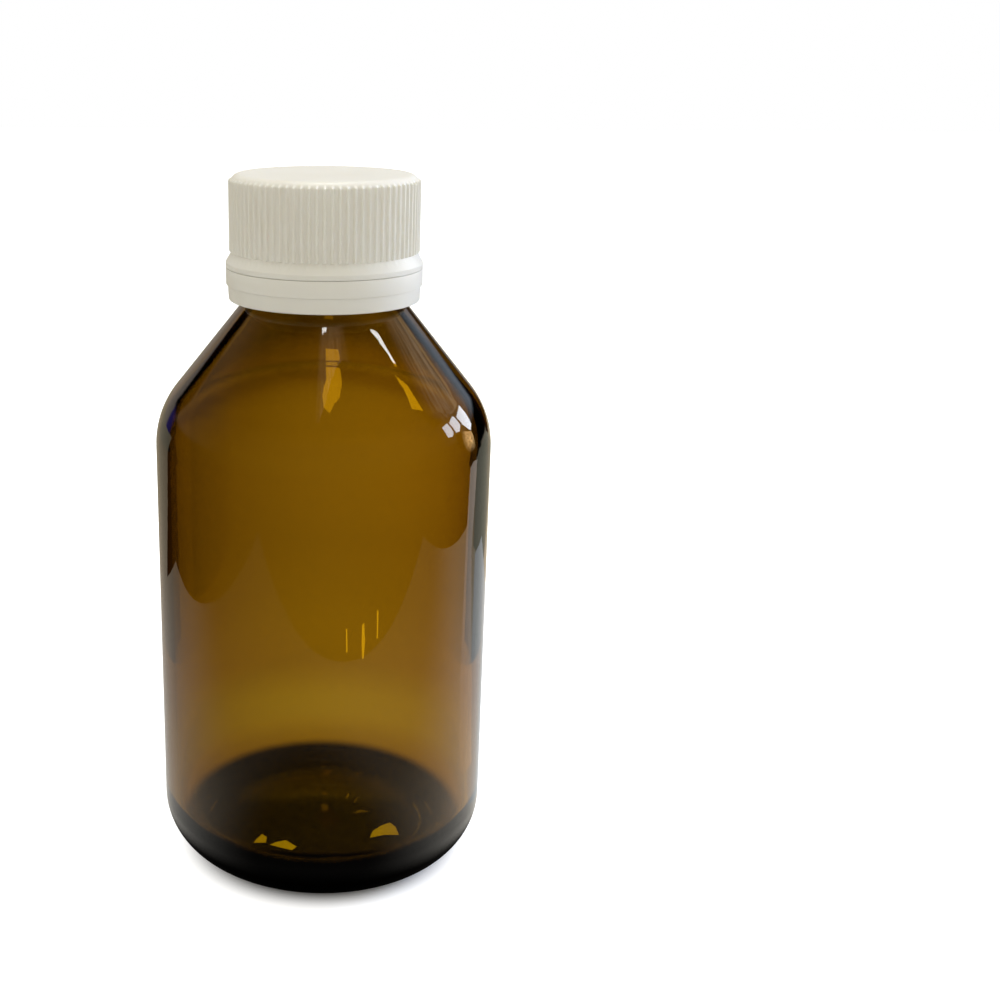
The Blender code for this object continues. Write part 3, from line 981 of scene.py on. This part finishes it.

# painted reflections of the window's panes, and painted glints of white light
pane_glass = glowing("window_pane", "#E6EEF8", 9.0)
for name, corners in (
    ("pane_left", [(51, 20), (53.5, 6.5), (58, 4.5), (63.5, 12.5), (63.5, 20)]),
    ("pane_middle", [(65.5, 23), (65.5, 14.5), (70, 11), (74.5, 13), (74, 22)]),
    ("pane_right", [(76, 23), (76.5, 14), (79.5, 12), (84, 13.5), (83, 23)]),
):
    directions_card(name, RIGHT_SHOULDER, corners, pane_glass)
glint = glowing("glint", "#FFFFFF", 14.0)
directions_card("glint_right", NECK_RIGHT, [(101, 51), (91, 46.6), (87, 43), (89, 44)], glint)
directions_card("glint_middle", NECK_FRONT, [(-176, 64.1), (-176, 68), (175, 68), (175, 64.2)], glint)
# painted highlights: the sill's warm glow and two soft patches of light, on the ceiling and on a wall
for name, spot, corners, distance, colour, strength, brightest, reach, cloud_size in (
    ("window_sill_highlight", RIGHT_SHOULDER, [(76, 11), (66, 8.8), (57.5, 4), (55, -10), (66, -8), (78, 2)],
     BEHIND_PANES, "#FFD08C", 5.0, (61, 3), 0.12, 0.02),
    ("ceiling_patch", NECK_FRONT, [(-170, 60), (-170, 70), (130, 66), (130, 57)],
     FAR_WALL, "#FFDCB4", 0.8, (165, 63), 0.17, 0.02),
    ("warm_lit_wall", RIGHT_SHOULDER, [(48, 20), (47, 34), (62, 52), (86, 52), (90, 27), (66, 24)],
     FAR_WALL, "#FFE4C0", 1.1, (52, 31), 0.32, 0.03),
):
    centre = Vector(spot) + towards(*brightest) * distance
    glow = soft_glow(name, colour, strength, centre, reach, cloud_size)
    directions_card(name, spot, corners, glow, distance)

# %% [markdown]
# ## What shows through the glass
# Sunlit things behind the bottle show through it as amber patches and thin streaks, and a few sparks lie
# in its base. Cards that only rays through the glass can see paint them as glowing light. The same kind of
# card paints shade where real glass looks dark: the bottle's thick edges look far aside, into unlit corners
# of the room, and its neck looks past the top of the paper. These painted shade cards fade out, so that
# they don't end in a hard line when the bottle is seen from the side.

# %% Patches, streaks and sparks
PATCH_DEPTH = 0.1
ARC_DEPTH = 0.3
STREAK_DEPTH = 0.05
# outlines in millimetres, to the right of the bottle's axis and up
LEFT_PATCH = ((0.2, 69.1), (4.2, 68.9), (4.9, 63.9), (4.5, 58.5), (1.6, 52.9), (-0.2, 54.4), (-0.6, 58.7),
              (0.4, 64.4))
RIGHT_PATCH = ((21.4, 69), (25, 65.8), (27.4, 60.8), (29.5, 56.8), (25.6, 56.6), (23.8, 62.8))
ARC_PATCH = ((0.4, 40), (7, 40), (7, 64), (0.4, 64))
STREAKS = (
    ((5.3, 19.9), (5.6, 19.9), (5.7, 14.5), (5.4, 14.5)),
    ((9, 20.8), (9.5, 21.2), (9.8, 17.2), (9.5, 13.1), (9.1, 13.1), (9, 16.8)),
    ((12.4, 24), (12.8, 24), (12.8, 17.7), (12.5, 17.7)),
)
SPARKS = (                 # these lie under the base, and are given to the right of its axis and behind it
    ((-12, -8.5), (-11.5, -5.8), (-10.5, -3.7), (-9.6, -4.7), (-9.7, -6.8)),
    ((-9.1, -8.1), (-8.1, -6.4), (-6.2, -5.4), (-4.3, -7.7), (-5.2, -11)),
    ((8.4, -4.6), (9, -2.1), (10.7, -0.4), (12.2, 0.4), (13.2, -1.4), (13.6, -4.2), (11.1, -3.8)),
)
# painted light seen only through the glass: sunlit patches, streaks of light and glints under the base
sunlit = glowing("sunlit_patch", "#FFF0E0", 1.7)
sunlit_bright = glowing("sunlit_patch_right", "#FFF8E8", 2.4)
spark = glowing("spark", "#D8FFFF", 3.4)
for name, depth, outline, material in (
    ("patch_left", PATCH_DEPTH, LEFT_PATCH, sunlit),
    ("patch_arc", ARC_DEPTH, ARC_PATCH, sunlit),
    ("patch_right", PATCH_DEPTH, RIGHT_PATCH, sunlit_bright),
    *[("streak_%d" % index, STREAK_DEPTH, streak, sunlit_bright) for index, streak in enumerate(STREAKS)],
):
    stage_card(name, [(x * MM, depth, z * MM) for x, z in outline], material, through=True)
for index, outline in enumerate(SPARKS):
    stage_card("spark_%d" % index, [(x * MM, y * MM, PAPER_LIFT) for x, y in outline], spark, through=True)
print("streaks:", len(STREAKS), "sparks:", len(SPARKS))

# %% Painted shade beside the bottle and behind its neck
DARK_BACK = (0.059, 0.085)             # X and Y of the shade cards' far ends, behind the bottle
DARK_SIDE = (0.1405, -0.020)           # and of their near ends, beside it
DARK_FADE = (-0.018, 0.030)            # from clear to dark, along Y
DARK_SPLIT = 0.055
DARK_TOP = 0.16


def fading_shade_card(name, colour, strength, along, fade, most=1.0):
    """Painted shade: a dim glow that fades in from clear air along one axis, up to the share of the view it
    may hide.
    """
    made, tree = new_material(name)
    place = add_node(tree, "ShaderNodeTexCoord").outputs["Object"]
    sides = add_node(tree, "ShaderNodeSeparateXYZ", {"Vector": place})
    solid = add_node(tree, "ShaderNodeMapRange", {
        "Value": sides.outputs[along], **between(fade, (0.0, most)),
    }, interpolation_type="SMOOTHSTEP")
    clear = add_node(tree, "ShaderNodeBsdfTransparent")
    glow = add_node(tree, "ShaderNodeEmission", {"Color": linear(colour), "Strength": strength})
    wall = add_node(tree, "ShaderNodeMixShader", {
        "Fac": solid.outputs["Result"], 1: clear.outputs[0], 2: glow.outputs[0],
    })
    add_node(tree, "ShaderNodeOutputMaterial", {"Surface": wall.outputs[0]})
    return made


# the black cards paint shade, and the brown card paints shade with a dim brownish glow
black = fading_shade_card("dark_beside", "#000000", 0.0, "Y", DARK_FADE)
brown = fading_shade_card("brown_beside", "#C8A890", 0.22, "Y", DARK_FADE)
for name, side, low, high, material in (
    ("dark_right", 1, 0, DARK_TOP, black),
    ("dark_left", -1, DARK_SPLIT, DARK_TOP, black),
    ("brown_left", -1, 0, DARK_SPLIT, brown),
):
    ends = [(side * x, y) for x, y in (DARK_BACK, DARK_SIDE)]
    stage_card(name, [(x, y, z) for z, row in ((low, ends), (high, ends[::-1])) for x, y in row], material,
               through=True)

# painted shade behind the neck, seen only through the glass
NECK_SHADE = 0.6
NECK_SHADE_DEPTH = 0.11
NECK_SHADE_FADE = (0.066, 0.0745)
NECK_SHADE_TOP = 0.12
NECK_SHADE_HALF = 0.05
stage_card("dark_neck", [
    (x, NECK_SHADE_DEPTH, z)
    for z, row in ((NECK_SHADE_FADE[0], (-1, 1)), (NECK_SHADE_TOP, (1, -1)))
    for x in (side * NECK_SHADE_HALF for side in row)
], fading_shade_card("dark_neck", "#000000", 0.0, "Z", NECK_SHADE_FADE, NECK_SHADE), through=True)

# %% [markdown]
# ## Room
# The world stands for the rest of the room. Lit surfaces get an even, slightly warm light from it. A
# mirrored ray gets one of three bands of colours that run round the horizon, with the pale wall behind
# the bottle and the dark room on the camera's side, and they fade out towards the ceiling. A ray that
# came through the glass gets plain light that fades upwards, and the camera itself sees white.

# %% Colours of the room
AMBIENT = 0.675
ROOM_FLOOR = (             # degrees from straight behind the bottle, + to the right, and the colour there
    (-180, "#2A2A2A"), (-110, "#222222"), (-42, "#0C0806"), (-38, "#BCB2A2"), (14, "#BCB4A4"),
    (19, "#14120E"), (30, "#14120E"), (34, "#B4AC98"), (44, "#B4AC98"), (48, "#181410"),
    (110, "#242424"), (180, "#2A2A2A"),
)
ROOM_EYE_LEVEL = (         # the same, from six degrees below the horizon
    (-180, "#2A2A2A"), (-110, "#222222"), (-52, "#0C0806"), (-48, "#483C8C"), (-42, "#483C8C"),
    (-39, "#A89C90"), (-20, "#B4A898"), (16, "#A0A09C"), (20, "#0C0C0C"), (54, "#040404"),
    (58, "#302820"), (110, "#242424"), (180, "#2A2A2A"),
)
ROOM_HIGH = (              # the same, from six degrees above it
    (-180, "#2A2A2A"), (-110, "#222222"), (-62, "#786C5C"), (-52, "#786C5C"), (-49, "#060403"),
    (-38, "#060403"), (-35, "#A89C90"), (-18, "#A09890"), (18, "#949698"), (23, "#484A4C"),
    (26, "#54585C"), (29, "#94A0B0"), (36, "#C4D0E0"), (43, "#B0BCC8"), (47, "#949CA4"),
    (51, "#848480"), (53, "#A89C84"), (70, "#8C8068"), (90, "#3C3830"), (180, "#2A2A2A"),
)
EYE_BAND_EDGE = (-0.13, -0.10)         # the edges between bands, as the Z of a direction
HIGH_BAND_EDGE = (0.10, 0.17)
CEILING_EDGE = (0.50, 0.75)
CEILING_LEVELS = (1.0, 0.3)
THROUGH_RISE = (0.2, 0.45)
THROUGH_LEVELS = (0.55, 0.06)

# %% Room
world = bpy.data.worlds.new("room")
bpy.context.scene.world = world
world.use_nodes = True
tree = world.node_tree
tree.nodes.clear()
direction = add_node(tree, "ShaderNodeTexCoord").outputs["Generated"]
parts = add_node(tree, "ShaderNodeSeparateXYZ", {"Vector": direction})
turn = add_node(tree, "ShaderNodeMath", {
    0: parts.outputs["X"], 1: parts.outputs["Y"],
}, operation="ARCTAN2")
turn = add_node(tree, "ShaderNodeMath", {0: turn.outputs[0], 1: math.pi}, operation="ADD")
room_band, eye_band, high_band = [
    ramp(tree, turn.outputs[0], [(math.radians(angle + 180), colour) for angle, colour in band], math.tau)
    for band in (ROOM_FLOOR, ROOM_EYE_LEVEL, ROOM_HIGH)
]
for band, edges in ((eye_band, EYE_BAND_EDGE), (high_band, HIGH_BAND_EDGE)):
    rise = add_node(tree, "ShaderNodeMapRange", {
        "Value": parts.outputs["Z"], **between(edges),
    }, interpolation_type="SMOOTHSTEP")
    room_band = add_node(tree, "ShaderNodeMix", {
        "Factor": rise.outputs["Result"], "A": room_band, "B": band,
    }, data_type="RGBA").outputs[2]
below_ceiling = add_node(tree, "ShaderNodeMapRange", {
    "Value": parts.outputs["Z"], **between(CEILING_EDGE, CEILING_LEVELS),
}, interpolation_type="SMOOTHSTEP")
through_level = add_node(tree, "ShaderNodeMapRange", {
    "Value": parts.outputs["Z"], **between(THROUGH_RISE, THROUGH_LEVELS),
}, interpolation_type="SMOOTHSTEP")
ray = add_node(tree, "ShaderNodeLightPath")
even_light = add_node(tree, "ShaderNodeBackground", {"Color": linear("#FFFCF0"), "Strength": AMBIENT})
mirror_light = add_node(tree, "ShaderNodeBackground", {
    "Color": room_band, "Strength": below_ceiling.outputs["Result"],
})
through_light = add_node(tree, "ShaderNodeBackground", {
    "Color": (1, 1, 1, 1), "Strength": through_level.outputs["Result"],
})
white = add_node(tree, "ShaderNodeBackground", {"Color": (1, 1, 1, 1), "Strength": 1.0})
mix = add_node(tree, "ShaderNodeMixShader", {
    "Fac": ray.outputs["Is Glossy Ray"], 1: even_light.outputs[0], 2: mirror_light.outputs[0],
})
mix = add_node(tree, "ShaderNodeMixShader", {
    "Fac": ray.outputs["Is Transmission Ray"], 1: mix.outputs[0], 2: through_light.outputs[0],
})
mix = add_node(tree, "ShaderNodeMixShader", {
    "Fac": ray.outputs["Is Camera Ray"], 1: mix.outputs[0], 2: white.outputs[0],
})
add_node(tree, "ShaderNodeOutputWorld", {"Surface": mix.outputs[0]})
print("room nodes:", len(tree.nodes))

# %% [markdown]
# ## Lamps
# Daylight comes through a window to the right and a little behind, so the cap is brightest on its right
# side. The cards above already draw the window on the glass, so its lamps are hidden from reflections. A
# broad soft lamp overhead stands for the ceiling.

# %% Lamps
LIT_HEIGHT = 0.09
LAMPS = (       # name, azimuth, elevation, distance, width, height, colour, watts, seen in reflections
    ("window_64", 64, 14, 0.60, 0.18, 0.18, "#C6D8FF", 1.15, False),
    ("window_80", 80, 14, 0.60, 0.18, 0.18, "#C6D8FF", 1.15, False),
    ("ceiling", 0, 86, 0.55, 0.24, 0.22, "#F8FAFF", 1.5, True),
)


def area_lamp(name, azimuth, elevation, distance, width, height, colour, watts, mirrored):
    """A rectangular lamp, placed by its direction from the bottle's neck and turned to face it."""
    out = towards(azimuth, elevation)
    bpy.ops.object.light_add(type="AREA", location=Vector((0, 0, LIT_HEIGHT)) + out * distance)
    lamp = bpy.context.object
    lamp.name = name
    lamp.rotation_euler = out.to_track_quat("Z", "Y").to_euler()
    lamp.data.shape = "RECTANGLE"
    lamp.data.size = width
    lamp.data.size_y = height
    lamp.data.color = linear(colour)[:3]
    lamp.data.energy = watts
    lamp.visible_camera = False
    lamp.visible_transmission = False
    lamp.visible_glossy = mirrored


for lamp in LAMPS:
    area_lamp(*lamp)
print("lamps:", len(LAMPS))
